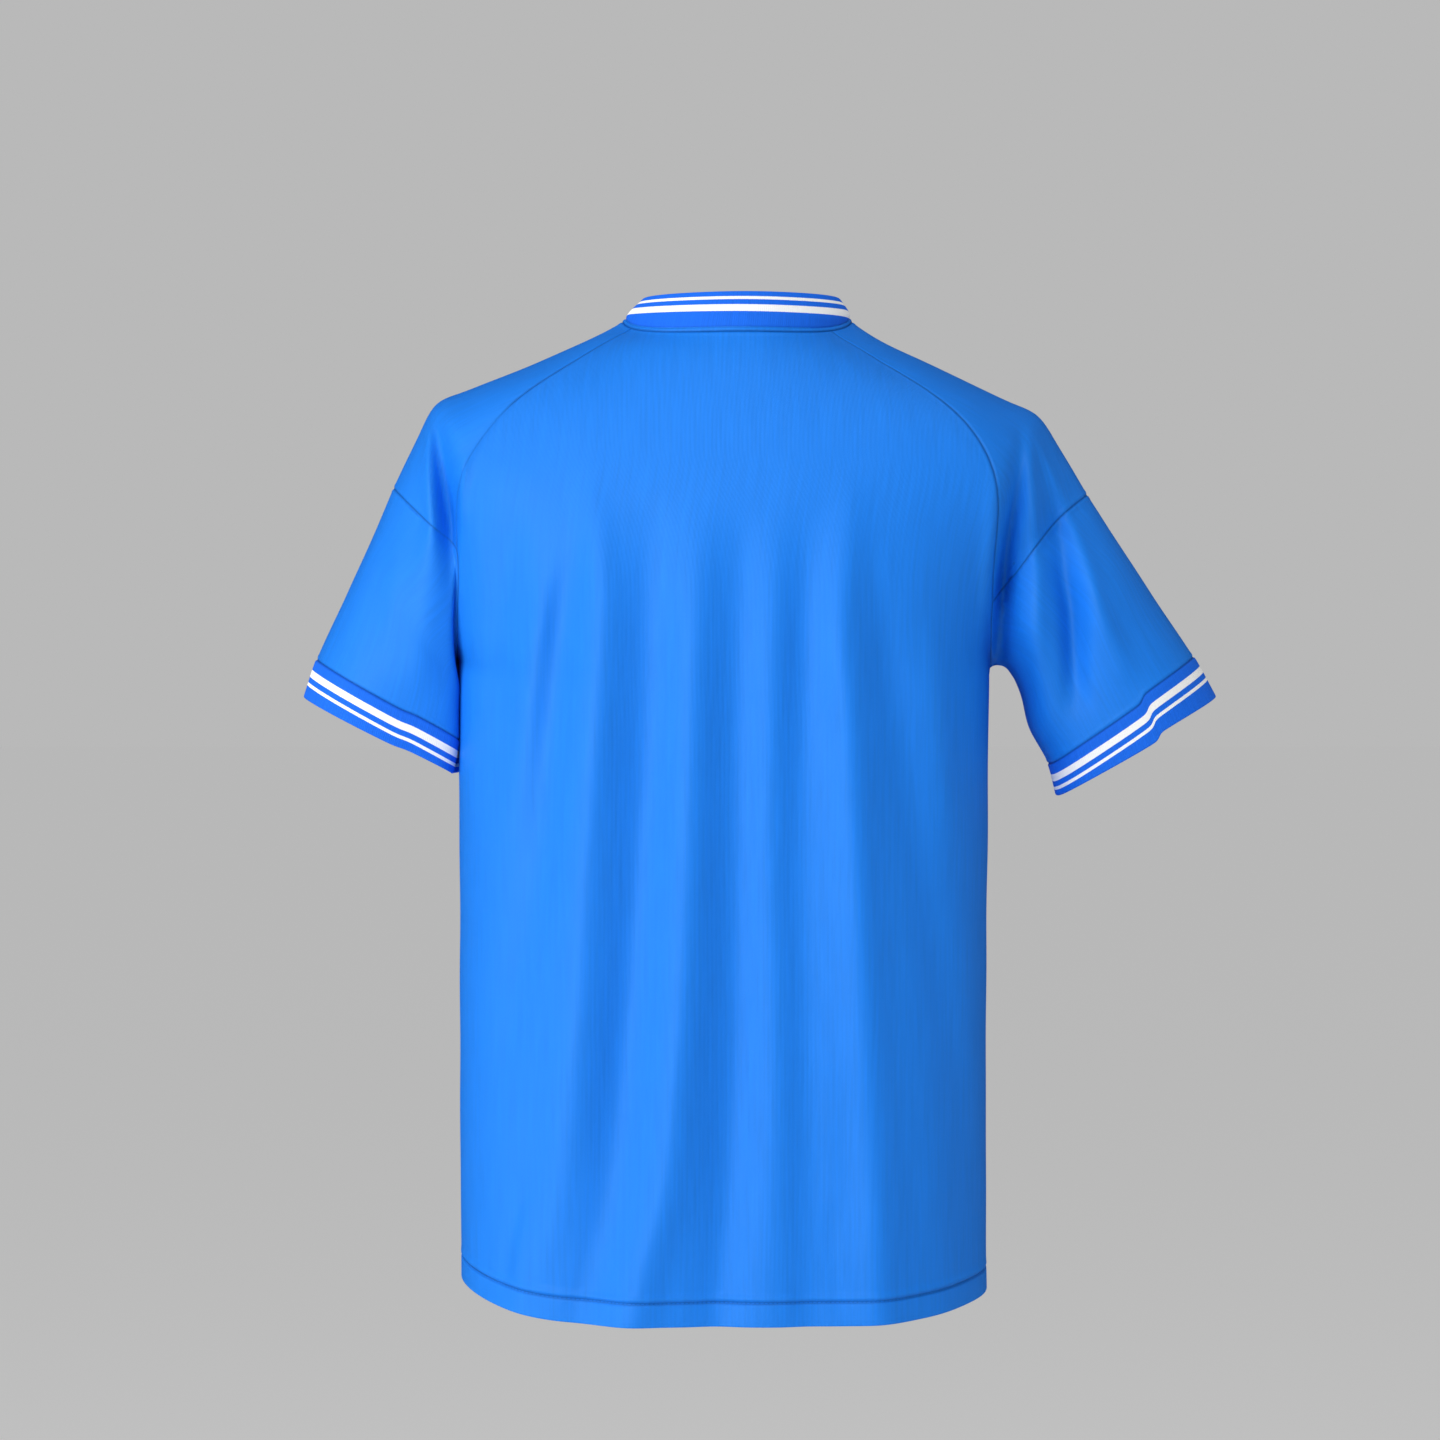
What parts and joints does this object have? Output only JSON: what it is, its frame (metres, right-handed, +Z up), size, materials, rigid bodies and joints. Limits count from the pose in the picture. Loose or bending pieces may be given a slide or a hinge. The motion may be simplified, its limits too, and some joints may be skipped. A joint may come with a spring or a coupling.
{
  "type": "soccer jersey",
  "caption": "Short-sleeved soccer jersey as worn: hollow body, shoulder pieces, sleeves with rib cuffs and a round rib collar, open at neck, hem and cuffs.",
  "frame": {"origin": "middle of the base of the neck, level with the collar seam at the centre back, where a wearer's shoulders hold the jersey up", "axes": "+X is the wearer's right, +Y is the way the wearer faces, +Z is up"},
  "size_m": [0.6588, 0.2716, 0.7214],
  "materials": {
    "jersey_knit": "smooth polyester knit with a soft satin sheen",
    "rib_knit": "matte fine rib with white stripes"
  },
  "bodies": {
    "root": {"back_panel": "jersey_knit", "front_panel": "jersey_knit", "shoulder_yoke_left": "jersey_knit", "shoulder_yoke_right": "jersey_knit", "sleeve_left": "jersey_knit", "sleeve_right": "jersey_knit", "cuff_left": "rib_knit", "cuff_right": "rib_knit", "collar": "rib_knit"}
  },
  "joints": []
}
